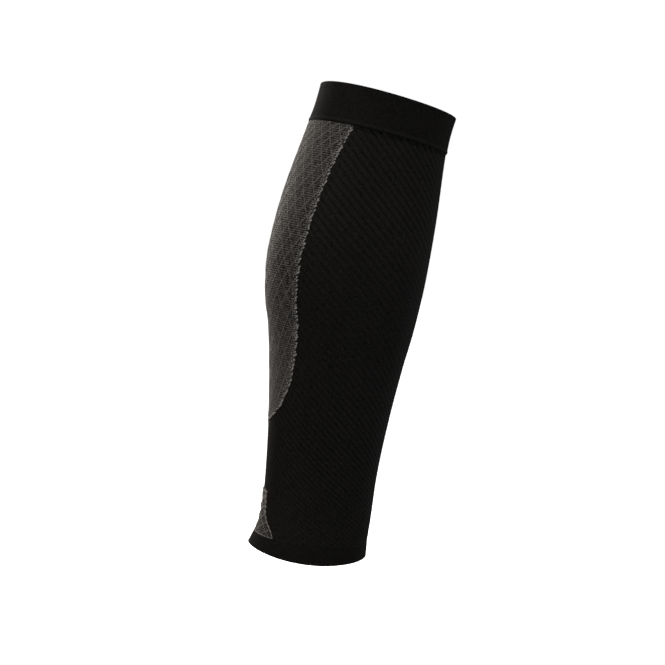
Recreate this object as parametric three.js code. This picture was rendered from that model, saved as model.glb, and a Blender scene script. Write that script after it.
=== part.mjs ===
// A knitted compression sleeve for the lower leg, in the shape that it takes when it is worn.
//
// Millimetres, +Z up the leg, +X forwards to the shin, -Y out to the side of the leg.
// The origin is on the leg's own line at the level of the greatest calf girth.
//
// The sleeve is an open tube of five knitted pieces: a wide double cuff below the knee, the leg tube,
// an open-mesh calf panel and an ankle panel let into the back of the tube, and a narrow hem.

import * as THREE from 'three';

// Driving dimensions

const LEG_WALL = 1.2; // single knit of the tube and of the two panels
const CUFF_WALL = 2.2; // the cuff is folded double
const HEM_WALL = 1.6;
const CUFF_PROUD = 0.7; // how far the cuff's outer face stands out from the tube's
const HEM_PROUD = 0.2;
const FOLD_SHARE = 0.6; // the height of a folded edge, as a share of half its wall
const PIECE_GAP = 0.4; // clear space between two pieces that meet

// Levels of the four edges that run round the leg, at the back, at the sides and at the front.
const EDGES = {
  top: { back: 123.9, side: 119, front: 116 },
  seam: { back: 95.2, side: 91.5, front: 89 },
  hemLine: { back: -206, side: -203.5, front: -202 },
  bottom: { back: -215.2, side: -217.4, front: -211.7 },
};

// The worn form: how far the outer face reaches behind and in front of the leg's line, and to each side.
const LEG_SECTIONS = [
  { height: -220, back: 46.5, front: 44.4, side: 38.6 },
  { height: -211, back: 42.8, front: 43.5, side: 37.4 },
  { height: -200, back: 39.9, front: 42.7, side: 36.2 },
  { height: -183, back: 39.1, front: 42.3, side: 35.5 },
  { height: -150, back: 42.0, front: 41.0, side: 36.8 },
  { height: -110, back: 47.4, front: 42.2, side: 41.5 },
  { height: -70, back: 54.5, front: 45.2, side: 47.0 },
  { height: -50, back: 59.2, front: 47.5, side: 50.0 },
  { height: -38, back: 63.0, front: 48.6, side: 52.0 },
  { height: -20, back: 66.2, front: 49.7, side: 54.0 },
  { height: 0, back: 67.6, front: 50.3, side: 55.0 },
  { height: 40, back: 64.4, front: 49.9, side: 54.6 },
  { height: 90, back: 55.4, front: 47.8, side: 51.5 },
  { height: 108, back: 51.9, front: 48.8, side: 50.0 },
  { height: 130, back: 49.9, front: 52.8, side: 49.5 },
];
const EGG_SHARE = 0.09; // how much wider the sections are towards the calf than towards the shin

// The hollow on each side of the heel cord, above the ankle.
const TENDON_HOLLOW = { height: -152, angle: 58, depth: 1.6, tall: 26, wide: 24 };

// Half widths of the two panels, as angles from the back line. up is the height above the hem line.
const CALF_PANEL_EDGE = [
  { up: 82, halfAngle: 0 },
  { up: 86, halfAngle: 13 },
  { up: 97, halfAngle: 30 },
  { up: 112, halfAngle: 40 },
  { up: 127, halfAngle: 44.5 },
  { up: 155, halfAngle: 47 },
  { up: 187, halfAngle: 46.7 },
  { up: 219, halfAngle: 48 },
  { up: 252, halfAngle: 50.7 },
  { up: 281, halfAngle: 55 },
  { up: 301.2, halfAngle: 60 },
];
const ANKLE_PANEL_EDGE = [
  { up: 0, halfAngle: 41.5 },
  { up: 5, halfAngle: 35 },
  { up: 9, halfAngle: 28 },
  { up: 14, halfAngle: 20.5 },
  { up: 18, halfAngle: 17.3 },
  { up: 23, halfAngle: 15.2 },
  { up: 28, halfAngle: 14.3 },
  { up: 32, halfAngle: 14.5 },
];

// Fineness of the faceted solids

const WALES_ROUND = 56; // columns round the whole leg
const CALF_PANEL_WALES = 12;
const ANKLE_PANEL_WALES = 6;
const ANKLE_COURSES = 6; // rows beside the ankle panel
const BETWEEN_COURSES = 4; // rows between the two panels
const CALF_COURSES = 18; // rows beside the calf panel
const TIP_STEP = 0.8; // the tip of a panel lies this far past its last row
const TIP_CROWDING = 1.4; // draws the rows together at the calf panel's tip
const FOLD_STEPS = 3; // facets over a folded edge
const CUFF_ROWS = 3;
const HEM_ROWS = 2;

const FULL_TURN = 2 * Math.PI;
const BACK_LENGTH = EDGES.seam.back - EDGES.hemLine.back;
const radians = THREE.MathUtils.degToRad;

// The worn form

function smoothTable(rows, key, columns) {
  const positions = rows.map((row) => row[key]);
  const values = rows.flatMap((row) => columns.map((column) => row[column]));
  const table = new THREE.CubicInterpolant(positions, values, columns.length);
  return (at) => [...table.evaluate(at)];
}

const legSection = smoothTable(LEG_SECTIONS, 'height', ['back', 'front', 'side']);
const calfHalfAngle = smoothTable(CALF_PANEL_EDGE, 'up', ['halfAngle']);
const ankleHalfAngle = smoothTable(ANKLE_PANEL_EDGE, 'up', ['halfAngle']);

// An edge's level at an angle from the back line, as a smooth wave through back, side and front.
function levelAt(edge, angle) {
  const ends = (edge.back + edge.front) / 2;
  const tilt = (edge.back - edge.front) / 2;
  const dip = (ends - edge.side) / 2;
  return (ends + edge.side) / 2 + tilt * Math.cos(angle) + dip * Math.cos(2 * angle);
}

function tendonHollow(angle, height) {
  const fromBack = Math.abs(THREE.MathUtils.euclideanModulo(angle + Math.PI, FULL_TURN) - Math.PI);
  const across = (fromBack - radians(TENDON_HOLLOW.angle)) / radians(TENDON_HOLLOW.wide);
  const along = (height - TENDON_HOLLOW.height) / TENDON_HOLLOW.tall;
  return TENDON_HOLLOW.depth * Math.exp(-(across ** 2) - along ** 2);
}

// A point on the worn form, sunk by inset below the tube's outer face.
function pointOnLeg(angle, height, inset) {
  const [back, front, side] = legSection(height);
  const sunk = inset + tendonHollow(angle, height);
  const middle = (front - back) / 2;
  const depth = (front + back) / 2 - sunk;
  const width = (side - sunk) * (1 + EGG_SHARE * Math.cos(angle));
  return new THREE.Vector3(middle - depth * Math.cos(angle), -width * Math.sin(angle), height);
}

// A point of the tube: up is measured along the back line, and the rows follow the hem line and the seam.
function pointOnTube(angle, up, inset) {
  const low = levelAt(EDGES.hemLine, angle) + PIECE_GAP / 2;
  const high = levelAt(EDGES.seam, angle) - PIECE_GAP / 2;
  return pointOnLeg(angle, THREE.MathUtils.lerp(low, high, up / BACK_LENGTH), inset);
}

// Solids

function geometryOf(points, triangles) {
  const geometry = new THREE.BufferGeometry().setFromPoints(points);
  geometry.setIndex(triangles);
  geometry.computeVertexNormals();
  return geometry;
}

// A closed ring round the leg, swept from a closed outline. Each outline point says how far it lies up from
// the low edge to the high one, how much to raise it from there, and how far it is sunk.
function ringGeometry(low, high, outline) {
  const points = [];
  const triangles = [];
  const vertex = (wale, step) => (wale % WALES_ROUND) * outline.length + (step % outline.length);
  for (let wale = 0; wale < WALES_ROUND; wale++) {
    const angle = (FULL_TURN * wale) / WALES_ROUND;
    for (const { share, raise, inset } of outline) {
      const height = THREE.MathUtils.lerp(levelAt(low, angle), levelAt(high, angle), share) + raise;
      points.push(pointOnLeg(angle, height, inset));
    }
  }
  for (let wale = 0; wale < WALES_ROUND; wale++) {
    for (let step = 0; step < outline.length; step++) {
      const [here, beside] = [vertex(wale, step), vertex(wale + 1, step)];
      const [above, across] = [vertex(wale, step + 1), vertex(wale + 1, step + 1)];
      triangles.push(here, beside, across, here, across, above);
    }
  }
  return geometryOf(points, triangles);
}

// The outline of a band: up its outer face, over the top fold, down its inner face, round the bottom fold.
function bandOutline({ wall, proud, rows, topGap, bottomGap }) {
  const radius = wall / 2;
  const rise = FOLD_SHARE * radius;
  const outline = [];
  const face = (inset, start, end) => {
    for (let row = 1; row < rows; row++) {
      outline.push({ share: THREE.MathUtils.lerp(start, end, row / rows), raise: 0, inset });
    }
  };
  const fold = (share, middle, start) => {
    for (let step = 0; step <= FOLD_STEPS; step++) {
      const swing = start + (Math.PI * step) / FOLD_STEPS;
      const inset = radius - proud - radius * Math.cos(swing);
      outline.push({ share, raise: middle + rise * Math.sin(swing), inset });
    }
  };
  face(-proud, 0, 1);
  fold(1, -topGap - rise, 0);
  face(wall - proud, 1, 0);
  fold(0, bottomGap + rise, Math.PI);
  return outline;
}

// A knitted wall between an outer and an inner face. A course is a row of the knit, from one angle to
// another; where it runs a full turn its two ends are the same points.
function wallGeometry(courses, wales) {
  const points = [];
  const triangles = [];
  const corner = [];
  const quad = (a, b, c, d) => {
    for (const [p, q, r] of [[a, b, c], [a, c, d]]) {
      if (p !== q && q !== r && r !== p) triangles.push(p, q, r);
    }
  };
  for (const { up, from, to } of courses) {
    const closed = to - from === FULL_TURN;
    const row = { outer: [], inner: [], closed };
    for (let wale = 0; wale <= wales; wale++) {
      if (closed && wale === wales) {
        row.outer.push(row.outer[0]);
        row.inner.push(row.inner[0]);
        continue;
      }
      const angle = THREE.MathUtils.lerp(from, to, wale / wales);
      row.outer.push(points.push(pointOnTube(angle, up, 0)) - 1);
      row.inner.push(points.push(pointOnTube(angle, up, LEG_WALL)) - 1);
    }
    corner.push(row);
  }
  for (let course = 0; course + 1 < corner.length; course++) {
    const [below, above] = [corner[course], corner[course + 1]];
    for (let wale = 0; wale < wales; wale++) {
      quad(below.outer[wale], below.outer[wale + 1], above.outer[wale + 1], above.outer[wale]);
      quad(below.inner[wale + 1], below.inner[wale], above.inner[wale], above.inner[wale + 1]);
    }
    if (!below.closed || !above.closed) {
      quad(below.inner[0], below.outer[0], above.outer[0], above.inner[0]);
      quad(below.outer[wales], below.inner[wales], above.inner[wales], above.outer[wales]);
    }
  }
  const [first, last] = [corner[0], corner.at(-1)];
  for (let wale = 0; wale < wales; wale++) {
    quad(first.inner[wale], first.inner[wale + 1], first.outer[wale + 1], first.outer[wale]);
    quad(last.outer[wale], last.outer[wale + 1], last.inner[wale + 1], last.inner[wale]);
  }
  return geometryOf(points, triangles);
}

// The pieces

const ANKLE_TIP = ANKLE_PANEL_EDGE.at(-1).up;
const CALF_TIP = CALF_PANEL_EDGE[0].up;

// Heights of the rows from one level to another. A crowding above 1 draws them together at the start.
function rowsBetween(start, end, count, crowding = 1) {
  const rows = [];
  for (let row = 0; row <= count; row++) {
    rows.push(THREE.MathUtils.lerp(start, end, (row / count) ** crowding));
  }
  return rows;
}

const ankleRows = rowsBetween(0, ANKLE_TIP - TIP_STEP, ANKLE_COURSES);
const betweenRows = rowsBetween(ANKLE_TIP, CALF_TIP, BETWEEN_COURSES);
const calfRows = rowsBetween(CALF_TIP + TIP_STEP, BACK_LENGTH, CALF_COURSES, TIP_CROWDING);

// Half the width of the window that the tube leaves at the back, as an angle.
function windowHalfAngle(up) {
  if (up < ANKLE_TIP) return radians(ankleHalfAngle(up)[0]);
  if (up > CALF_TIP) return radians(calfHalfAngle(up)[0]);
  return 0;
}

function legTube() {
  const rows = [...ankleRows, ...betweenRows, ...calfRows];
  const courses = rows.map((up) => {
    const half = windowHalfAngle(up);
    return { up, from: half, to: FULL_TURN - half };
  });
  return wallGeometry(courses, WALES_ROUND);
}

// A panel fills its window apart from the gap all round.
function panel(rows, wales) {
  const courses = rows.map((up) => {
    const [, , side] = legSection(EDGES.hemLine.back + up);
    const half = windowHalfAngle(up) - PIECE_GAP / side;
    return { up, from: -half, to: half };
  });
  return wallGeometry(courses, wales);
}

function topCuff() {
  return ringGeometry(EDGES.seam, EDGES.top, bandOutline({
    wall: CUFF_WALL, proud: CUFF_PROUD, rows: CUFF_ROWS, topGap: 0, bottomGap: PIECE_GAP / 2,
  }));
}

function bottomHem() {
  return ringGeometry(EDGES.bottom, EDGES.hemLine, bandOutline({
    wall: HEM_WALL, proud: HEM_PROUD, rows: HEM_ROWS, topGap: PIECE_GAP / 2, bottomGap: 0,
  }));
}

const blackKnit = new THREE.MeshStandardMaterial({ color: 0x151413, roughness: 0.85, metalness: 0 });
const blackBand = new THREE.MeshStandardMaterial({ color: 0x181716, roughness: 0.8, metalness: 0 });
const greyMesh = new THREE.MeshStandardMaterial({ color: 0x4a4745, roughness: 0.8, metalness: 0 });

function piece(name, geometry, material) {
  const mesh = new THREE.Mesh(geometry, material);
  mesh.name = name;
  return mesh;
}

const sleeve = new THREE.Group();
sleeve.add(piece('top_cuff', topCuff(), blackBand));
sleeve.add(piece('leg_tube', legTube(), blackKnit));
sleeve.add(piece('calf_panel', panel(calfRows, CALF_PANEL_WALES), greyMesh));
sleeve.add(piece('ankle_panel', panel(ankleRows, ANKLE_PANEL_WALES), greyMesh));
sleeve.add(piece('bottom_hem', bottomHem(), blackBand));

export default sleeve;
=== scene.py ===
"""A knitted compression sleeve for the lower leg: the looks of its tube, panels, cuff and hem.

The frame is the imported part, in metres: +Z up the leg, +X forwards to the shin, -Y out to the side.
An angle is measured round the leg from the back line, first to the -Y side. A height up the tube is
measured along the back line from the hem line. Driving sizes are in millimetres.
"""

import math
from collections import namedtuple

import bpy
import numpy as np
from mathutils import Matrix, Vector


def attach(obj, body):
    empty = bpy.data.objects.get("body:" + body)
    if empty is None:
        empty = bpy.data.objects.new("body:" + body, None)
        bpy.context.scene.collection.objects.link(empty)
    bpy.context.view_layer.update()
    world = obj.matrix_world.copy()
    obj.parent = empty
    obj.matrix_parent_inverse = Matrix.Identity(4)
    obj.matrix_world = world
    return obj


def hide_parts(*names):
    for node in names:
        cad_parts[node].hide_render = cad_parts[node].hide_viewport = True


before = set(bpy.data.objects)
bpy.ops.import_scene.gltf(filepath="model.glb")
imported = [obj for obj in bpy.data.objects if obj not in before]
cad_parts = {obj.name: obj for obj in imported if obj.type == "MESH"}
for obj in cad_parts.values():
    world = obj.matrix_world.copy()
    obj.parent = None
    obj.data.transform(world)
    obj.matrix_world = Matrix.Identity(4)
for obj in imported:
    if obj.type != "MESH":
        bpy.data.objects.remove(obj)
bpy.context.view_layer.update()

MM = 0.001
FULL_TURN = 2 * math.pi

# Form of the sleeve, the same as that of the solids


def table(columns, rows):
    """Rows of numbers under named columns."""
    return np.array(rows, dtype=[(column, float) for column in columns.split()])


EDGES = {  # levels of the edges that run round the leg: at the back, at the sides and at the front
    "top": (123.9, 119, 116),
    "seam": (95.2, 91.5, 89),
    "hem_line": (-206, -203.5, -202),
    "bottom": (-215.2, -217.4, -211.7),
}
BACK_LENGTH = EDGES["seam"][0] - EDGES["hem_line"][0]

LEG_SECTIONS = table("height back front side", [
    (-220, 46.5, 44.4, 38.6),
    (-211, 42.8, 43.5, 37.4),
    (-200, 39.9, 42.7, 36.2),
    (-183, 39.1, 42.3, 35.5),
    (-150, 42.0, 41.0, 36.8),
    (-110, 47.4, 42.2, 41.5),
    (-70, 54.5, 45.2, 47.0),
    (-50, 59.2, 47.5, 50.0),
    (-38, 63.0, 48.6, 52.0),
    (-20, 66.2, 49.7, 54.0),
    (0, 67.6, 50.3, 55.0),
    (40, 64.4, 49.9, 54.6),
    (90, 55.4, 47.8, 51.5),
    (108, 51.9, 48.8, 50.0),
    (130, 49.9, 52.8, 49.5),
])
EGG_SHARE = 0.09  # how much wider the sections are towards the calf than towards the shin
HOLLOW = {"height": -152, "angle": 58, "depth": 1.6, "tall": 26, "wide": 24}  # beside the heel cord

CALF_PANEL_EDGE = table("up half_angle", [
    (82, 0), (86, 13), (97, 30), (112, 40), (127, 44.5), (155, 47),
    (187, 46.7), (219, 48), (252, 50.7), (281, 55), (301.2, 60),
])
ANKLE_PANEL_EDGE = table("up half_angle", [
    (0, 41.5), (5, 35), (9, 28), (14, 20.5), (18, 17.3), (23, 15.2), (28, 14.3), (32, 14.5),
])
CALF_TIP = CALF_PANEL_EDGE["up"][0]
ANKLE_TIP = ANKLE_PANEL_EDGE["up"][-1]
TIP_STEP = 0.4  # the tip of a panel lies this far past its last row

LEG_WALL = 1.2
PANEL_GAP = 0.06  # between the tube and a panel, under the stitches
EDGE_GAP = 0.02  # between the tube and a band
CUFF = {"wall": 2.2, "proud": 0.7, "height": 27}
HEM = {"wall": 1.6, "proud": 0.2, "height": 10}
FOLD_SHARE = 0.6  # the height of a folded edge, as a share of half its wall
CUFF_BEAD = {"up": 1.9, "half_width": 0.8, "rise": 0.28}  # the sewn edge just above the seam
NO_BEAD = {"up": -10, "half_width": 1, "rise": 0}  # for a plain band

# Knit

RIBS_ROUND = 47
RIB_HEIGHT = 0.16
# The distance up the leg from rib to rib, and how much of the full height the ribs have
RIB_RISE = table("up pitch depth", [
    (0, 2.9, 0.7), (29, 3.55, 0.75), (83, 4.9, 1.0), (165, 6.05, 0.45), (238, 5.95, 0.82), (301.2, 5.9, 0.82),
])
RIB_SAMPLES = 8
VALLEY_SHARPNESS = 4  # a higher power makes the valleys between the ribs narrower
RIB_STITCH = 2.4  # round the leg from stitch to stitch
STITCH_SLANT = 0.5  # how far round the leg a column of stitches goes, for its height
COURSE = 1.6  # a row of the panels' mesh
COURSE_HEIGHT = 0.26
COURSE_SAMPLES = 4
WALE = 1.5  # a column of the panels' mesh
DASH_LENGTH = 3.2  # of the brighter loops in a row
# Where the panels' mesh is lighter: by height, towards the calf panel's tip and near its top,
# and there by the distance from the back line. Near the top this lightening is painted light.
TIP_LIGHTENING = table("at share", [(50, 0), (88, 1), (115, 0.65), (150, 0.3), (190, 0)])
TOP_PAINTED_LIGHT = table("at share", [(190, 0), (240, 1), (300, 1)])
SIDE_PAINTED_LIGHT = table("at share", [(0, 0.65), (22, 1), (45, 0.25)])
# How much the tube's stitches stand out, and where painted shade darkens the tube just below the cuff
STITCH_BOLDNESS = table("at share", [(0, 0.6), (180, 0.5), (240, 1)])
SEAM_PAINTED_SHADE = table("at share", [(297.8, 0), (299.6, 1), (301.2, 1)])
FLAT_GIRTH = 360.0  # a full turn on the flat knit's map

# The calf panel's crossing lines: degrees round the leg from line to line, and the distance up the leg
# from line to line of those that lean right and of those that lean left
LATTICE = table("up width right left", [
    (82, 11.4, 23.4, 12.7), (110, 11.2, 20.7, 13.9), (150, 11.0, 17.7, 15.5),
    (200, 10.65, 15.2, 17.3), (235, 10.4, 13.9, 17.9), (262, 10.3, 12.8, 18.6),
    (276, 10.2, 10.6, 19.3), (290, 9.9, 7.9, 19.5), (301.2, 9.6, 7.3, 19.5),
])
LATTICE_START = {"up": 200, "angle": 30, "right": 0.13, "left": 0.21}  # where the first lines pass
LATTICE_LINES = 24  # to each side of the first
LATTICE_LIFT = -0.06  # the yarns are sunk a little
# Radius of a line's loops, and of the gap of thin yarn between them, for each way that a line leans
LATTICE_YARN = table("up right right_gap left left_gap", [
    (82, 0.36, 0.28, 0.26, 0.08), (150, 0.38, 0.2, 0.28, 0.08), (215, 0.42, 0.13, 0.32, 0.1),
    (255, 0.48, 0.18, 0.32, 0.22), (301.2, 0.5, 0.24, 0.32, 0.24),
])

# Rows of stitches along the calf panel's border: the distance between them, how far inside the edge they lie,
# how far they turn from it, in degrees, and their form. The last row is of teeth that stand further apart
Stitches = namedtuple("Stitches", "pitch inset turn length radius lift")
CALF_BORDER = [
    Stitches(pitch=2.7, inset=0.5, turn=32, length=2.1, radius=0.6, lift=0.12),
    Stitches(pitch=1.7, inset=2.1, turn=32, length=1.0, radius=0.29, lift=0.08),
    Stitches(pitch=1.7, inset=3.5, turn=32, length=0.9, radius=0.26, lift=0.05),
    Stitches(pitch=6.5, inset=0.3, turn=40, length=2.3, radius=0.6, lift=0.13),
]
UNEVEN = {  # the least and the most that a stitch differs from its row
    "place": (-0.2, 0.2),  # as a share of the pitch
    "inset": (-0.6, 0.6),
    "length": (0.7, 1.3),  # as a share of the row's length
    "turn": (-10, 10),
    "radius": (0.75, 1.15),  # as a share of the row's radius
}
# Near the tip the stitches are longer and further apart, and turn less, by shares of their row's values
BORDER_STRETCH = table("up share turn", [
    (82, 1.9, 0.1), (112, 1.6, 0.3), (145, 1.0, 1.0), (301.2, 1.0, 1.0),
])

# Radius of the ankle panel's yarns: of the lines that lean right and left, and of the chain round it
ANKLE_YARN = table("up right left chain", [
    (0, 0.3, 0.1, 0.26), (3, 0.42, 0.12, 0.36), (10, 0.5, 0.2, 0.5),
    (17, 0.85, 0.6, 0.85), (32, 1.05, 0.9, 1.05),
])
BETWEEN_LOOPS = 0.4  # the radius at a yarn's thin places, as a share of the radius beside them
# The lines: degrees round the leg and distance up it from line to line, and lines to each side of the first
ANKLE_LATTICE = {"angle": 18.0, "tall": 7.5, "lift": 0.05, "step": 0.8, "points": 2, "lines": 14}
# The chain: its distance inside the panel's edge, and how much further in its thin places lie at the top
ANKLE_STRAND = {"inset": 0.45, "lift": 0.05, "step": 1.3, "points": 3, "notch": 1.8}


def smooth(rows, key, column, at):
    """A smooth curve through one column of a table, read at one place or at many."""
    x, y = rows[key], rows[column]
    step = np.diff(y) / np.diff(x)
    slope = np.empty_like(y)
    slope[1:-1] = (y[2:] - y[:-2]) / (x[2:] - x[:-2])
    slope[0] = 1.5 * step[0] - 0.5 * slope[1]
    slope[-1] = 1.5 * step[-1] - 0.5 * slope[-2]
    at = np.asarray(at, float)
    left = np.clip(np.searchsorted(x, at) - 1, 0, len(x) - 2)
    width = x[left + 1] - x[left]
    t = (at - x[left]) / width
    start = y[left] * (1 + 2 * t) * (1 - t) ** 2 + slope[left] * width * t * (1 - t) ** 2
    end = y[left + 1] * t * t * (3 - 2 * t) - slope[left + 1] * width * t * t * (1 - t)
    return start + end


def level(edge, angle):
    """An edge's level as a smooth wave through its back, side and front."""
    back, side, front = EDGES[edge]
    ends = (back + front) / 2
    wave = (back - front) / 2 * np.cos(angle) + (ends - side) / 2 * np.cos(2 * angle)
    return (ends + side) / 2 + wave


def on_leg(angle, height, inset):
    """Points of the worn form in metres, sunk by inset below the tube's outer face."""
    angle, height = np.broadcast_arrays(np.asarray(angle, float), np.asarray(height, float))
    from_back = np.abs((angle + math.pi) % FULL_TURN - math.pi)
    across = (from_back - math.radians(HOLLOW["angle"])) / math.radians(HOLLOW["wide"])
    along = (height - HOLLOW["height"]) / HOLLOW["tall"]
    sunk = inset + HOLLOW["depth"] * np.exp(-across**2 - along**2)
    back, front, side = (smooth(LEG_SECTIONS, "height", name, height) for name in ("back", "front", "side"))
    x = (front - back) / 2 - ((front + back) / 2 - sunk) * np.cos(angle)
    y = -(side - sunk) * (1 + EGG_SHARE * np.cos(angle)) * np.sin(angle)
    return np.stack([x, y, height], axis=-1) * MM


def on_tube(angle, up, inset):
    """Points of the tube, whose rows follow the hem line and the seam."""
    low = level("hem_line", angle) + EDGE_GAP
    high = level("seam", angle) - EDGE_GAP
    return on_leg(angle, low + (high - low) * np.asarray(up, float) / BACK_LENGTH, inset)


def outward(angle, up):
    """The direction out of the tube's face."""
    turn, rise = 1e-3, 0.1
    around = on_tube(angle + turn, up, 0) - on_tube(angle - turn, up, 0)
    along = on_tube(angle, up + rise, 0) - on_tube(angle, up - rise, 0)
    normal = np.cross(around, along)
    return normal / np.linalg.norm(normal, axis=-1, keepdims=True)


def window_half_angle(up):
    """Half the width of the window that the tube leaves at the back for a panel, as an angle."""
    if up < ANKLE_TIP:
        return math.radians(smooth(ANKLE_PANEL_EDGE, "up", "half_angle", up))
    if up > CALF_TIP:
        return math.radians(smooth(CALF_PANEL_EDGE, "up", "half_angle", up))
    return 0.0


def half_width(up):
    """Half the leg's width from side to side at a height, as a radius that turns angles into distances."""
    return smooth(LEG_SECTIONS, "height", "side", EDGES["hem_line"][0] + up)


def flat_place(angle, up):
    """A point's place on the flat knit, across and up it, in metres."""
    angle, up = np.broadcast_arrays(np.asarray(angle, float), np.asarray(up, float))
    return np.stack([angle / FULL_TURN * FLAT_GIRTH, up], axis=-1) * MM


def passed(rows, pitch, up):
    """How many lines are passed going up the leg to a height, where the table gives their pitch."""
    samples = 200
    heights = np.linspace(rows["up"][0], rows["up"][-1], samples)
    per_mm = 1 / smooth(rows, "up", pitch, heights)
    count = np.concatenate([[0], np.cumsum((per_mm[1:] + per_mm[:-1]) / 2 * np.diff(heights))])
    return np.interp(up, heights, count)


def rib_count(angle, up):
    """How many ribs, which wind down round the leg, are passed going round and up it to a point."""
    return angle / FULL_TURN * RIBS_ROUND + passed(RIB_RISE, "pitch", up)


def rib_place(angle, up):
    """A point's place on the flat ribbed knit, across its columns of stitches and up it, in metres."""
    columns = angle / FULL_TURN * FLAT_GIRTH - STITCH_SLANT * up
    return np.stack([columns, np.broadcast_to(up, columns.shape)], axis=-1) * MM


# Meshes

SHARP_EDGE = 50  # degrees


class Cloth:
    """A mesh in the making: rows of corners, each with its point and its place on the flat knit. A point's
    relief goes from 0 in the valleys of the knit to 1 on its ridges."""

    def __init__(self):
        self.points, self.relief, self.corner_point, self.places, self.faces = [], [], [], [], []
        self.point_count = self.corner_count = 0

    def corners(self, points, places):
        """Adds corners at points that are there already, and gives the corners' numbers."""
        self.corner_point.append(points)
        self.places.append(places)
        self.corner_count += len(points)
        return np.arange(self.corner_count - len(points), self.corner_count)

    def row(self, points, places, relief=0.5, closed=False):
        """Adds a row of points and gives its corners' numbers. The ends of a closed row are one point."""
        kept = len(points) - 1 if closed else len(points)
        self.points.append(points[:kept])
        self.relief.append(np.broadcast_to(relief, len(points))[:kept])
        numbers = self.point_count + np.arange(len(points)) % kept
        self.point_count += kept
        return self.corners(numbers, places)

    def again(self, row, places):
        """A row's points once more, at other places on the flat knit."""
        return self.corners(np.concatenate(self.corner_point)[row], places)

    def zip(self, low, low_order, high, high_order):
        """Fills the strip between two rows, taking their corners in order."""
        i = j = 0
        while i + 1 < len(low) or j + 1 < len(high):
            if j + 1 == len(high) or (i + 1 < len(low) and low_order[i + 1] <= high_order[j + 1]):
                self.faces.append((low[i], low[i + 1], high[j]))
                i += 1
            else:
                self.faces.append((low[i], high[j + 1], high[j]))
                j += 1

    def strip(self, low, high):
        """Fills the strip between two rows with as many corners."""
        self.zip(low, range(len(low)), high, range(len(high)))

    def quad(self, a, b, c, d):
        self.faces += [(a, b, c), (a, c, d)]

    def piece(self, name, material, slot, node=None):
        """The finished mesh as a piece that rides on the part and stands for its node."""
        faces = np.array(self.faces)
        corners = np.concatenate(self.corner_point)[faces]
        mesh = bpy.data.meshes.new(name)
        mesh.from_pydata(np.concatenate(self.points).tolist(), [], corners.tolist())
        uv = np.concatenate(self.places)[faces.ravel()].astype(np.float32)
        mesh.uv_layers.new(name="FlatKnit").data.foreach_set("uv", uv.ravel())
        relief = mesh.attributes.new("relief", "FLOAT", "POINT")
        relief.data.foreach_set("value", np.concatenate(self.relief).astype(np.float32))
        mesh.materials.append(material)
        mesh.shade_smooth()
        mesh.set_sharp_from_angle(angle=math.radians(SHARP_EDGE))
        piece = bpy.data.objects.new(name, mesh)
        bpy.context.scene.collection.objects.link(piece)
        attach(piece, "root")
        if node:
            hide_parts(node)
        return piece


WallRow = namedtuple("WallRow", "outer order angles inner inner_angles closed")


def knit_wall(rows, outer_row, tall, inner_columns, place):
    """A closed wall of knit. outer_row gives a row's angles, their order and their relief, whose ridges are
    tall high; the inner face is plain. place gives a point's place on the flat knit. A full row is closed."""
    tolerance = 1e-9
    cloth = Cloth()
    built = []
    for up in rows:
        angles, order, relief = outer_row(up)
        closed = angles[-1] - angles[0] > FULL_TURN - tolerance
        inner_angles = np.linspace(angles[0], angles[-1], inner_columns + 1)
        outer = cloth.row(on_tube(angles, up, (0.5 - relief) * tall), place(angles, up), relief, closed)
        inner = cloth.row(on_tube(inner_angles, up, LEG_WALL), place(inner_angles, up), 0.5, closed)
        built.append(WallRow(outer, order, angles, inner, inner_angles, closed))
    for below, above in zip(built, built[1:]):
        cloth.zip(below.outer, below.order, above.outer, above.order)
        cloth.strip(above.inner, below.inner)
        if not (below.closed and above.closed):
            cloth.quad(below.inner[0], below.outer[0], above.outer[0], above.inner[0])
            cloth.quad(below.outer[-1], below.inner[-1], above.inner[-1], above.outer[-1])
    first, last = built[0], built[-1]
    cloth.zip(first.inner, first.inner_angles, first.outer, first.angles)
    cloth.zip(last.outer, last.angles, last.inner, last.inner_angles)
    return cloth


def ribbed_row(up):
    """A row of the tube. Its columns run along the ribs, and each rib falls to a narrow valley."""
    start = window_half_angle(up)
    end = FULL_TURN - start
    spare = 0.3  # of a column, which keeps the first and last columns off the window's edges
    first = math.ceil(rib_count(start, up) * RIB_SAMPLES + spare)
    last = math.floor(rib_count(end, up) * RIB_SAMPLES - spare)
    columns = np.arange(first, last + 1)
    column_angles = (columns / RIB_SAMPLES - rib_count(0, up)) / RIBS_ROUND * FULL_TURN
    angles = np.concatenate([[start], column_angles, [end]])
    order = np.concatenate([[-np.inf], columns, [np.inf]])
    ridge = 1 - np.cos(math.pi * rib_count(angles, up)) ** VALLEY_SHARPNESS
    return angles, order, 0.5 + (ridge - 0.5) * smooth(RIB_RISE, "up", "depth", up)


def leg_tube(material):
    """The ribbed tube with its windows. Its rows lie closer near the calf panel's tip."""
    ankle_rows, middle_rows, calf_rows, crowding = 16, 24, 92, 1.15
    tip = CALF_TIP + TIP_STEP
    rows = np.concatenate([
        np.linspace(0, ANKLE_TIP - TIP_STEP, ankle_rows),
        np.linspace(ANKLE_TIP, CALF_TIP, middle_rows),
        tip + (BACK_LENGTH - tip) * np.linspace(0, 1, calf_rows) ** crowding,
    ])
    wall = knit_wall(rows, ribbed_row, RIB_HEIGHT, inner_columns=96, place=rib_place)
    return wall.piece("sleeve_tube", material, "black_knit", "leg_tube")


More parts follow.
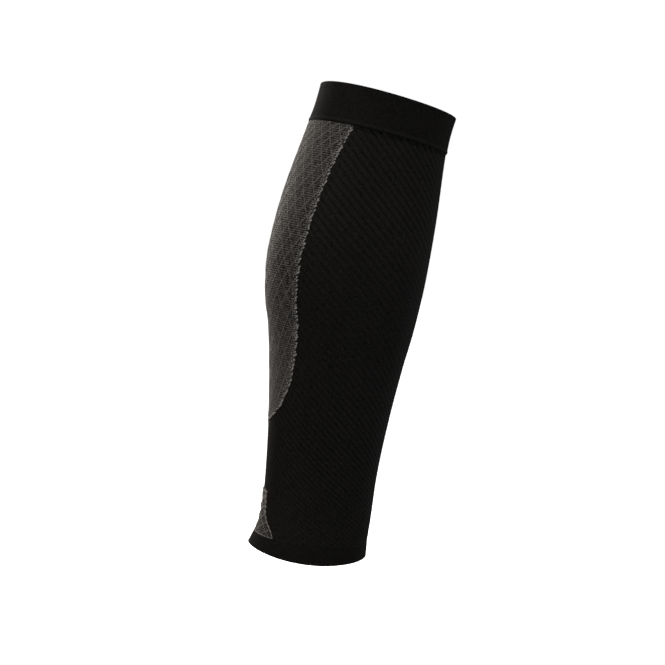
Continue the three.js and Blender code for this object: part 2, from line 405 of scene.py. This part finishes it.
def mesh_panel(start, end, columns):
    """A panel of fine rows in its window, smooth at its edges."""
    smooth_edge = 1.5
    inner_columns = columns // 4

    def course_row(up):
        half = window_half_angle(up) - PANEL_GAP / half_width(up)
        angles = np.linspace(-half, half, columns + 1)
        from_edge = np.clip((half - np.abs(angles)) * half_width(up) / smooth_edge, 0, 1)
        relief = 0.5 - 0.5 * math.cos(FULL_TURN * up / COURSE) * from_edge
        return angles, np.arange(columns + 1), relief

    rows = np.linspace(start, end, round((end - start) / COURSE * COURSE_SAMPLES) + 1)
    return knit_wall(rows, course_row, COURSE_HEIGHT, inner_columns, flat_place)


def calf_panel(material):
    wall = mesh_panel(CALF_TIP + TIP_STEP, BACK_LENGTH, columns=60)
    return wall.piece("mesh_calf_panel", material, "grey_mesh", "calf_panel")


def ankle_panel(material):
    wall = mesh_panel(0, ANKLE_TIP - TIP_STEP, columns=24)
    return wall.piece("mesh_ankle_panel", material, "grey_mesh", "ankle_panel")


# Bands

# A point's share of the way up the band, its rise from there, its inset, and its share of the bead's height
# The bead's share also lightens the band's colour there: a painted highlight on the sewn edge
ProfilePoint = namedtuple("ProfilePoint", "share rise inset bead")


def band_profile(wall, proud, height, bead):
    """Up a band's outer face, over the top fold, down the inner face and round the bottom fold."""
    radius = wall / 2
    rise = FOLD_SHARE * radius
    rows_per_mm, fold_steps, inner_steps = 2, 8, 6
    inner_top, inner_bottom = 0.85, 0.15  # as shares of the way up
    profile = []
    for up in np.linspace(rise, height - rise, round(rows_per_mm * height)):
        swell = math.exp(-(((up - bead["up"]) / bead["half_width"]) ** 2))
        profile.append(ProfilePoint(up / height, 0.0, -proud - swell * bead["rise"], swell))
    for swing in np.linspace(0, math.pi, fold_steps + 1):
        inset = radius - proud - radius * math.cos(swing)
        profile.append(ProfilePoint(1.0, rise * (math.sin(swing) - 1), inset, 0.0))
    for share in np.linspace(inner_top, inner_bottom, inner_steps):
        profile.append(ProfilePoint(share, 0.0, wall - proud, 0.0))
    for swing in np.linspace(math.pi, FULL_TURN, fold_steps + 1):
        inset = radius - proud - radius * math.cos(swing)
        profile.append(ProfilePoint(0.0, rise * (math.sin(swing) + 1) + EDGE_GAP, inset, 0.0))
    return profile


def band(low, high, profile):
    """A band round the leg between two edges, swept from a closed profile."""
    columns = 240
    angles = np.linspace(0, FULL_TURN, columns + 1)
    cloth = Cloth()
    rows = []
    along, last = 0.0, None
    for point in profile:
        heights = level(low, angles) * (1 - point.share) + level(high, angles) * point.share + point.rise
        points = on_leg(angles, heights, point.inset)
        if last is not None:
            along += np.linalg.norm(points[0] - last) / MM
        last = points[0]
        rows.append(cloth.row(points, flat_place(angles, along), point.bead, closed=True))
    rows.append(cloth.again(rows[0], flat_place(angles, along)))
    for below, above in zip(rows, rows[1:]):
        cloth.strip(below, above)
    return cloth


def top_cuff(material):
    sewn = band("seam", "top", band_profile(**CUFF, bead=CUFF_BEAD))
    return sewn.piece("folded_cuff", material, "black_band", "top_cuff")


def bottom_hem(material):
    sewn = band("bottom", "hem_line", band_profile(**HEM, bead=NO_BEAD))
    return sewn.piece("ankle_hem", material, "black_band", "bottom_hem")


# Yarns laid on the panels

# For each point of a yarn: its place, its height off the panel and its radius
YarnPath = namedtuple("YarnPath", "angle up lift radius")


def yarn_tubes(paths, sides=6):
    """Round yarns with closed ends."""
    cloth = Cloth()
    turn = np.linspace(0, FULL_TURN, sides + 1)
    for path in paths:
        normal = outward(path.angle, path.up)
        middle = on_tube(path.angle, path.up, 0) + normal * path.lift[:, None] * MM
        aside = np.cross(np.gradient(middle, axis=0), normal)
        aside /= np.linalg.norm(aside, axis=1, keepdims=True)
        length = np.concatenate([[0], np.cumsum(np.linalg.norm(np.diff(middle, axis=0), axis=1))])
        rings = []
        for k, radius in enumerate(path.radius * MM):
            ring = middle[k] + radius * (np.outer(np.cos(turn), aside[k]) + np.outer(np.sin(turn), normal[k]))
            places = np.stack([radius * turn, np.full(sides + 1, length[k])], axis=-1)
            rings.append(cloth.row(ring, places, closed=True))
        for below, above in zip(rings, rings[1:]):
            cloth.strip(below, above)
        for k in range(1, sides - 1):
            cloth.faces.append((rings[0][0], rings[0][k + 1], rings[0][k]))
            cloth.faces.append((rings[-1][0], rings[-1][k], rings[-1][k + 1]))
    return cloth


def runs(inside):
    """The stretches of a line that lie inside, each as the numbers of its points."""
    shortest = 4
    stretches = np.split(np.arange(len(inside)), np.flatnonzero(np.diff(inside)) + 1)
    return [stretch for stretch in stretches if inside[stretch[0]] and len(stretch) >= shortest]


def calf_lattice_paths():
    """The crossing lines of the calf panel, with a loop to each row of the mesh."""
    border, above_tip = 1.2, 2.0
    up = np.arange(CALF_TIP + above_tip, BACK_LENGTH, COURSE / 2)
    half = np.array([window_half_angle(u) - border / half_width(u) for u in up])
    width = smooth(LATTICE, "up", "width", up)
    between_loops = np.arange(len(up)) % 2
    paths = []
    for lean, way in (("right", 1), ("left", -1)):
        climb = passed(LATTICE, lean, up) - passed(LATTICE, lean, LATTICE_START["up"])
        loop, gap = (np.interp(up, LATTICE_YARN["up"], LATTICE_YARN[key]) for key in (lean, lean + "_gap"))
        radius = np.where(between_loops, gap, loop)
        for line in range(-LATTICE_LINES, LATTICE_LINES + 1):
            angle = np.radians(LATTICE_START["angle"] + width * (line + LATTICE_START[lean] + way * climb))
            for run in runs(np.abs(angle) < half):
                paths.append(YarnPath(angle[run], up[run], np.full(len(run), LATTICE_LIFT), radius[run]))
    return paths


def calf_lattice(material):
    return yarn_tubes(calf_lattice_paths(), sides=5).piece("calf_lattice_yarn", material, "grey_mesh")


def stitch(angle, up, length, tilt, radius, lift, side):
    """A short stitch, round at both ends, on one side's border."""
    points, blunt_end = 6, 0.02
    t = np.linspace(-1, 1, points)
    across = side * (angle + t * length / 2 * math.cos(tilt) / half_width(up))
    rise = up + t * length / 2 * math.sin(tilt)
    taper = radius * np.sqrt(np.clip(1 - t**4, blunt_end, 1))
    return YarnPath(across, rise, lift * (1 - 0.5 * t**2), taper)


def border_paths(start, end, row, dice):
    """A row of uneven stitches along both borders of the calf panel."""
    samples = 400
    heights = np.linspace(start, end, samples)
    halves = np.array([window_half_angle(u) for u in heights])
    stretch = np.interp(heights, BORDER_STRETCH["up"], BORDER_STRETCH["share"])
    turn_share = np.interp(heights, BORDER_STRETCH["up"], BORDER_STRETCH["turn"])
    steps = np.hypot(np.diff(heights), np.diff(halves) * half_width(heights[1:])) / stretch[1:]
    along = np.concatenate([[0], np.cumsum(steps)])
    slope = np.arctan2(np.gradient(heights), np.gradient(halves) * half_width(heights))
    paths = []
    for place in np.arange(row.pitch / 2, along[-1] - row.length / 2, row.pitch):
        for side in (1, -1):
            here = place + dice.uniform(*UNEVEN["place"]) * row.pitch
            up = float(np.interp(here, along, heights))
            inset = row.inset + dice.uniform(*UNEVEN["inset"])
            angle = float(np.interp(here, along, halves)) - inset / half_width(up)
            length = row.length * dice.uniform(*UNEVEN["length"]) * float(np.interp(here, along, stretch))
            turn = (row.turn + dice.uniform(*UNEVEN["turn"])) * float(np.interp(here, along, turn_share))
            tilt = float(np.interp(here, along, slope)) - math.radians(turn)
            radius = row.radius * dice.uniform(*UNEVEN["radius"])
            paths.append(stitch(angle, up, length, tilt, radius, row.lift, side))
    return paths


def calf_border(material):
    """The calf panel's border stitches, which run on past its tip."""
    past_tip, below_seam = 2.0, 0.5
    dice = np.random.default_rng(seed=3)
    paths = []
    for row in CALF_BORDER:
        paths += border_paths(CALF_TIP - past_tip, BACK_LENGTH - below_seam, row, dice)
    return yarn_tubes(paths).piece("calf_border_stitches", material, "grey_mesh")


def thin_places(count, points):
    """True at the first of every few points of a yarn."""
    return np.arange(count) % points == 0


def ankle_radius(up, kind, points):
    """Radii along an ankle yarn, with a thin place to every few points."""
    loops = np.interp(up, ANKLE_YARN["up"], ANKLE_YARN[kind])
    return loops * np.where(thin_places(len(up), points), BETWEEN_LOOPS, 1)


def ankle_lattice_paths():
    """Crossing yarns of the ankle panel."""
    border, below_top = 0.6, 1.0
    sizes = ANKLE_LATTICE
    up = np.arange(border, ANKLE_TIP - below_top, sizes["step"])
    half = np.array([window_half_angle(u) - border / half_width(u) for u in up])
    paths = []
    for lean, way in (("right", 1), ("left", -1)):
        radius = ankle_radius(up, lean, sizes["points"])
        for line in range(-sizes["lines"], sizes["lines"] + 1):
            angle = math.radians(sizes["angle"]) * (line + way * up / sizes["tall"])
            for run in runs(np.abs(angle) < half):
                paths.append(YarnPath(angle[run], up[run], np.full(len(run), sizes["lift"]), radius[run]))
    return paths


def ankle_lattice(material):
    return yarn_tubes(ankle_lattice_paths()).piece("ankle_lattice_yarn", material, "grey_mesh")


def ankle_strand_path():
    """A chain of stitches round the ankle panel: up one border, over the top, down the other, and back."""
    sizes, samples = ANKLE_STRAND, 60
    up = np.linspace(sizes["inset"], ANKLE_TIP - TIP_STEP - sizes["inset"], samples)
    half = np.array([window_half_angle(u) - sizes["inset"] / half_width(u) for u in up])
    corner_angles = np.concatenate([half, -half[::-1], half[:1]])
    corner_ups = np.concatenate([up, up[::-1], up[:1]])
    length = np.hypot(np.diff(corner_angles) * half_width(corner_ups[1:]), np.diff(corner_ups))
    along = np.concatenate([[0], np.cumsum(length)])
    places = np.arange(0, along[-1], sizes["step"])
    angle, height = (np.interp(places, along, values) for values in (corner_angles, corner_ups))
    notch = np.where(thin_places(len(places), sizes["points"]), sizes["notch"], 0) * height / ANKLE_TIP
    angle -= np.sign(angle) * notch / half_width(height)
    radius = ankle_radius(height, "chain", sizes["points"])
    return YarnPath(angle, height, np.full(len(places), sizes["lift"]), radius)


def ankle_border(material):
    return yarn_tubes([ankle_strand_path()]).piece("ankle_border_stitches", material, "grey_mesh")


# Materials

WARM = (1.0, 0.94, 0.885)  # the share of a grey in each channel
SHEEN_TINT = (1.0, 0.93, 0.87, 1.0)
SHEEN_ROUGHNESS = 0.4


class Shader:
    """A material's nodes, wired by short calls."""

    def __init__(self, name, specular, sheen):
        self.material = bpy.data.materials.new(name)
        self.material.use_nodes = True
        self.nodes = self.material.node_tree.nodes
        self.links = self.material.node_tree.links
        self.surface = self.nodes["Principled BSDF"]
        self.surface.inputs["Specular IOR Level"].default_value = specular
        self.surface.inputs["Sheen Weight"].default_value = sheen
        self.surface.inputs["Sheen Roughness"].default_value = SHEEN_ROUGHNESS
        self.surface.inputs["Sheen Tint"].default_value = SHEEN_TINT

    def add(self, kind, **settings):
        node = self.nodes.new(kind)
        for key, value in settings.items():
            setattr(node, key, value)
        return node

    def math(self, operation, *values):
        """The result of an operation on numbers and other nodes' outputs."""
        node = self.add("ShaderNodeMath", operation=operation)
        for value, socket in zip(values, node.inputs):
            if isinstance(value, bpy.types.NodeSocket):
                self.links.new(value, socket)
            else:
                socket.default_value = value
        return node.outputs[0]

    def blend(self, *parts):
        """The sum of some patterns, each times its share."""
        total = 0.0
        for pattern, share in parts:
            total = self.math("MULTIPLY_ADD", pattern, share, total)
        return total

    def place(self):
        """The place on the flat knit, in millimetres."""
        parts = self.add("ShaderNodeSeparateXYZ")
        self.links.new(self.add("ShaderNodeUVMap", uv_map="FlatKnit").outputs["UV"], parts.inputs[0])
        return [self.math("DIVIDE", parts.outputs[k], MM) for k in range(2)]

    def relief(self):
        """0 in the valleys of the knit and 1 on its ridges."""
        return self.add("ShaderNodeAttribute", attribute_name="relief").outputs["Fac"]

    def noise(self, size, detail=3.0, contrast=1.0):
        """An even pattern about 0.5, with patches of a size in millimetres."""
        node = self.add("ShaderNodeTexNoise")
        node.inputs["Scale"].default_value = 1 / (size * MM)
        node.inputs["Detail"].default_value = detail
        self.links.new(self.add("ShaderNodeTexCoord").outputs["Object"], node.inputs["Vector"])
        return self.blend((node.outputs["Fac"], contrast), (0.5, 1 - contrast))

    def streaks(self, along, row, length):
        """Dashes of about a length, which differ from row to row: 1 on them and 0 between them."""
        row_step, contrast = 2.37, 1.35
        place = self.add("ShaderNodeCombineXYZ")
        self.links.new(self.math("DIVIDE", along, length), place.inputs[0])
        self.links.new(self.math("MULTIPLY", row, row_step), place.inputs[1])
        node = self.add("ShaderNodeTexNoise", noise_dimensions="2D")
        node.inputs["Scale"].default_value = 1.0
        node.inputs["Detail"].default_value = 1.0
        self.links.new(place.outputs[0], node.inputs["Vector"])
        return self.clamp(self.blend((node.outputs["Fac"], contrast), (0.5, 1 - contrast)))

    def clamp(self, value):
        """A value kept between 0 and 1."""
        return self.math("MINIMUM", self.math("MAXIMUM", value, 0.0), 1.0)

    def curve(self, place, rows):
        """A value that goes through a table of places and shares."""
        node = self.add("ShaderNodeValToRGB")
        stops = node.color_ramp.elements
        end = rows["at"][-1]
        for row in rows[1:-1]:
            stops.new(row["at"] / end)
        for stop, row in zip(stops, rows):
            stop.position = row["at"] / end
            stop.color = (row["share"], row["share"], row["share"], 1.0)
        self.links.new(self.math("DIVIDE", place, end), node.inputs["Fac"])
        return node.outputs["Color"]

    def wave(self, distance, period):
        """A wave between 0 and 1."""
        turn = self.math("MULTIPLY", distance, FULL_TURN / period)
        return self.math("MULTIPLY_ADD", self.math("SINE", turn), 0.5, 0.5)

    def loops(self, across, up, wale, course):
        """The height of a plain knit: columns of V-shaped loops, wale wide and course tall."""
        steepness, half = 1.3, 0.5
        column = self.math("FRACT", self.math("DIVIDE", across, wale))
        arm = self.math("ABSOLUTE", self.math("SUBTRACT", column, half))
        loop = self.wave(self.math("MULTIPLY_ADD", arm, -steepness * course, up), course)
        groove = self.wave(self.math("SUBTRACT", arm, half / 4), half)
        return self.blend((loop, 0.6), (groove, -0.4), (1.0, 0.4))

    def ramp(self, share, low, high, socket):
        """A colour or grey between two, by a share from 0 to 1."""
        node = self.add("ShaderNodeValToRGB")
        node.color_ramp.elements[0].color = (*low, 1.0)
        node.color_ramp.elements[1].color = (*high, 1.0)
        self.links.new(share, node.inputs["Fac"])
        self.links.new(node.outputs["Color"], self.surface.inputs[socket])

    def finish(self, height, shade, depth, dark, pale, sleek, dull):
        """Sets the bump, whose height is depth deep, and by the shade the colour and the roughness."""
        bump = self.add("ShaderNodeBump")
        bump.inputs["Distance"].default_value = depth * MM
        self.links.new(height, bump.inputs["Height"])
        self.links.new(bump.outputs["Normal"], self.surface.inputs["Normal"])
        self.ramp(shade, dark, pale, "Base Color")
        self.ramp(shade, (dull,) * 3, (sleek,) * 3, "Roughness")
        return self.material


def warm(grey):
    """A slightly warm grey, as light per channel."""
    return tuple(grey * share for share in WARM)


def black_knit():
    """Ribs, and columns of stitches that cross them."""
    shader = Shader("black_rib_knit", specular=0.005, sheen=0.0)
    column, up = shader.place()
    wander = shader.noise(1.5)
    ridge = shader.relief()
    wave = shader.wave(shader.blend((column, 1.0), (wander, 0.8)), RIB_STITCH)
    bold = shader.curve(up, STITCH_BOLDNESS)
    stitches = shader.math("MULTIPLY", shader.math("MULTIPLY", wave, ridge), bold)
    grain = shader.noise(1.3, contrast=3.0)
    height = shader.blend((stitches, 0.7), (grain, 0.2))
    # Painted shade: the tube darker just below the cuff's edge
    seam = shader.curve(up, SEAM_PAINTED_SHADE)
    patches = shader.noise(25)
    # The ridge share paints the rib valleys darker: painted shade
    shade = shader.blend((ridge, 0.2), (stitches, 0.45), (grain, 0.5), (patches, 0.2), (seam, -0.3))
    return shader.finish(
        height, shade, depth=0.2, dark=warm(0.0016), pale=warm(0.0098), sleek=0.8, dull=0.95
    )


def black_band():
    """A fine plain knit, smooth to the eye, with a painted highlight along the cuff's bead."""
    shader = Shader("black_band_knit", specular=0.005, sheen=0.0)
    loops = shader.loops(*shader.place(), wale=1.0, course=0.9)
    height = shader.blend((loops, 0.7), (shader.noise(0.4), 0.3))
    grain = shader.noise(1.2, contrast=3.0)
    patches = shader.noise(20)
    # Painted highlight: the bead's relief lightens the cuff's colour along its sewn edge
    bead = shader.relief()
    shade = shader.blend((loops, 0.4), (grain, 0.55), (patches, 0.15), (bead, 0.4))
    return shader.finish(
        height, shade, depth=0.12, dark=warm(0.002), pale=warm(0.008), sleek=0.8, dull=0.95
    )


def grey_mesh(name, pale):
    """Rows of loops with dark gaps between them, brighter in short dashes."""
    gap_shade = -0.54
    shader = Shader(name, specular=0.02, sheen=0.03)
    across, up = shader.place()
    row = shader.math("FLOOR", shader.math("DIVIDE", up, COURSE))
    dashes = shader.streaks(across, row, DASH_LENGTH)
    ridge = shader.math("MULTIPLY", shader.relief(), dashes)
    staggered = shader.blend((across, 1.0), (row, WALE / 2))
    loops = shader.math("MULTIPLY", shader.wave(staggered, WALE), ridge)
    height = shader.blend((loops, 0.8), (shader.noise(0.6), 0.2))
    # Painted light near the top, brightest near the back line; lighter towards the calf panel's tip
    side = shader.curve(shader.math("ABSOLUTE", across), SIDE_PAINTED_LIGHT)
    top = shader.math("MULTIPLY", shader.curve(up, TOP_PAINTED_LIGHT), side)
    lighter_tip_and_painted_light = shader.blend((shader.curve(up, TIP_LIGHTENING), 0.38), (top, 0.36))
    grain = shader.noise(0.9, contrast=3.0)
    patches = shader.noise(15)
    pattern = shader.blend((ridge, 1.1), (loops, 1.2), (grain, 0.8), (patches, 0.1), (lighter_tip_and_painted_light, 1.0))
    shade = shader.math("ADD", pattern, gap_shade)
    return shader.finish(
        height, shade, depth=0.15, dark=warm(0.004), pale=warm(pale), sleek=0.75, dull=0.9
    )


def yarn_material(name, dark, pale):
    """Soft twisted yarn."""
    shader = Shader(name, specular=0.03, sheen=0.03)
    twist = shader.noise(0.7, detail=2.0)
    shade = shader.blend((twist, 0.6), (shader.noise(6), 0.4))
    return shader.finish(
        twist, shade, depth=0.1, dark=warm(dark), pale=warm(pale), sleek=0.55, dull=0.75
    )


# The sleeve

rib_knit = black_knit()
band_knit = black_band()
calf_mesh = grey_mesh("grey_mesh_knit", pale=0.052)
ankle_mesh = grey_mesh("ankle_mesh_knit", pale=0.044)
mid_grey = yarn_material("mid_grey_yarn", dark=0.036, pale=0.1)
ankle_grey = yarn_material("ankle_grey_yarn", dark=0.036, pale=0.17)
light_grey = yarn_material("light_grey_yarn", dark=0.065, pale=0.22)
tube = leg_tube(rib_knit)
cuff = top_cuff(band_knit)
hem = bottom_hem(band_knit)
calf = calf_panel(calf_mesh)
ankle = ankle_panel(ankle_mesh)
lattice = calf_lattice(mid_grey)
border = calf_border(light_grey)
ankle_lines = ankle_lattice(ankle_grey)
ankle_edge = ankle_border(ankle_grey)

# Stage

CAMERA_DISTANCE = 1.0
CAMERA_TURN = 10  # degrees from the side of the leg towards its back
CAMERA_HEIGHT = -0.003
CAMERA_ROLL = 10.3
CAMERA_LENS = 73.9
CAMERA_SENSOR = 36
AIM_ACROSS, AIM_HEIGHT = -0.0103, -0.053
FLOOR_HEIGHT = -0.45
FLOOR_REACH = 30.0
DIM_SKY = 0.2  # what the knit sees of the white sky
SUN_STRENGTH = 1.8  # from straight above
SUN_SPREAD = 40  # degrees
FLOOR_GLOW = 0.55  # which makes the floor white
LIGHT_DISTANCE = 1.5
# Degrees to the right of the camera and up, size, brightness on a face turned to the light, and share of blue
LIGHTS = [
    {"name": "front_fill", "turn": -4, "up": 12, "size": 1.2, "bright": 0.8, "blue": 1.0},
    {"name": "left_side", "turn": -105, "up": 32, "size": 1.0, "bright": 1.05, "blue": 0.88},
    {"name": "left_rim", "turn": -163, "up": 8, "size": 0.7, "bright": 1.8, "blue": 0.88},
    {"name": "right_rim", "turn": 113, "up": -12, "size": 0.8, "bright": 0.85, "blue": 1.0},
]


def camera():
    """The camera at the photo's angle: level with the calf, turned towards the back, and rolled."""
    turn, roll = math.radians(CAMERA_TURN), math.radians(CAMERA_ROLL)
    forwards = Vector((math.sin(turn), math.cos(turn), 0))
    across = Vector((math.cos(turn), -math.sin(turn), 0))
    place = -CAMERA_DISTANCE * forwards + Vector((0, 0, CAMERA_HEIGHT))
    ahead = (across * AIM_ACROSS + Vector((0, 0, AIM_HEIGHT)) - place).normalized()
    right = ahead.cross(Vector((0, 0, 1))).normalized()
    upright = right.cross(ahead)
    axis_x = math.cos(roll) * right + math.sin(roll) * upright
    axis_y = math.cos(roll) * upright - math.sin(roll) * right
    data = bpy.data.cameras.new("camera")
    data.lens = CAMERA_LENS
    data.sensor_width = CAMERA_SENSOR
    made = bpy.data.objects.new("camera", data)
    made.matrix_world = Matrix.Translation(place) @ Matrix((axis_x, axis_y, -ahead)).transposed().to_4x4()
    bpy.context.scene.collection.objects.link(made)
    bpy.context.scene.camera = made


def soft_light(name, turn, up, size, bright, blue):
    """A round light on a sphere about the sleeve, which faces it."""
    side, rise = math.radians(turn + CAMERA_TURN), math.radians(up)
    towards = Vector((math.sin(side) * math.cos(rise), -math.cos(side) * math.cos(rise), math.sin(rise)))
    data = bpy.data.lights.new(name, "AREA")
    data.shape = "DISK"
    data.size = size
    data.energy = bright * (math.pi * LIGHT_DISTANCE) ** 2
    data.color = (1.0, (1 + blue) / 2, blue)
    made = bpy.data.objects.new(name, data)
    made.location = towards * LIGHT_DISTANCE + Vector((0, 0, AIM_HEIGHT))
    made.rotation_euler = (-towards).to_track_quat("-Z", "Y").to_euler()
    made.visible_camera = False
    bpy.context.scene.collection.objects.link(made)


def overhead_sun():
    data = bpy.data.lights.new("overhead", "SUN")
    data.energy = SUN_STRENGTH
    data.angle = math.radians(SUN_SPREAD)
    bpy.context.scene.collection.objects.link(bpy.data.objects.new("overhead", data))


def floor():
    """A pale floor below the sleeve, which throws no light back on it."""
    signs = ((-1, -1), (1, -1), (1, 1), (-1, 1))
    corners = [(x * FLOOR_REACH, y * FLOOR_REACH, FLOOR_HEIGHT) for x, y in signs]
    data = bpy.data.meshes.new("floor")
    data.from_pydata(corners, [], [(0, 1, 2, 3)])
    shader = Shader("pale_floor", specular=0.0, sheen=0.0)
    shader.surface.inputs["Emission Color"].default_value = (1, 1, 1, 1)
    shader.surface.inputs["Emission Strength"].default_value = FLOOR_GLOW
    grain = shader.noise(300)
    finish = shader.finish(
        grain, grain, depth=0.1, dark=(0.93,) * 3, pale=(0.96,) * 3, sleek=0.8, dull=0.9
    )
    data.materials.append(finish)
    made = bpy.data.objects.new("floor", data)
    made.visible_diffuse = made.visible_glossy = False
    bpy.context.scene.collection.objects.link(made)


def sky():
    """White behind the sleeve, and dim on it, so that the lights shape it."""
    world = bpy.data.worlds.new("studio")
    world.use_nodes = True
    nodes, links = world.node_tree.nodes, world.node_tree.links
    strength = nodes.new("ShaderNodeMath")
    strength.operation = "MULTIPLY_ADD"
    links.new(nodes.new("ShaderNodeLightPath").outputs["Is Camera Ray"], strength.inputs[0])
    strength.inputs[1].default_value = 1 - DIM_SKY
    strength.inputs[2].default_value = DIM_SKY
    nodes["Background"].inputs["Color"].default_value = (1, 1, 1, 1)
    links.new(strength.outputs[0], nodes["Background"].inputs["Strength"])
    bpy.context.scene.world = world


camera()
floor()
sky()
overhead_sun()
for sizes in LIGHTS:
    soft_light(**sizes)
bpy.context.scene.view_settings.view_transform = "Standard"
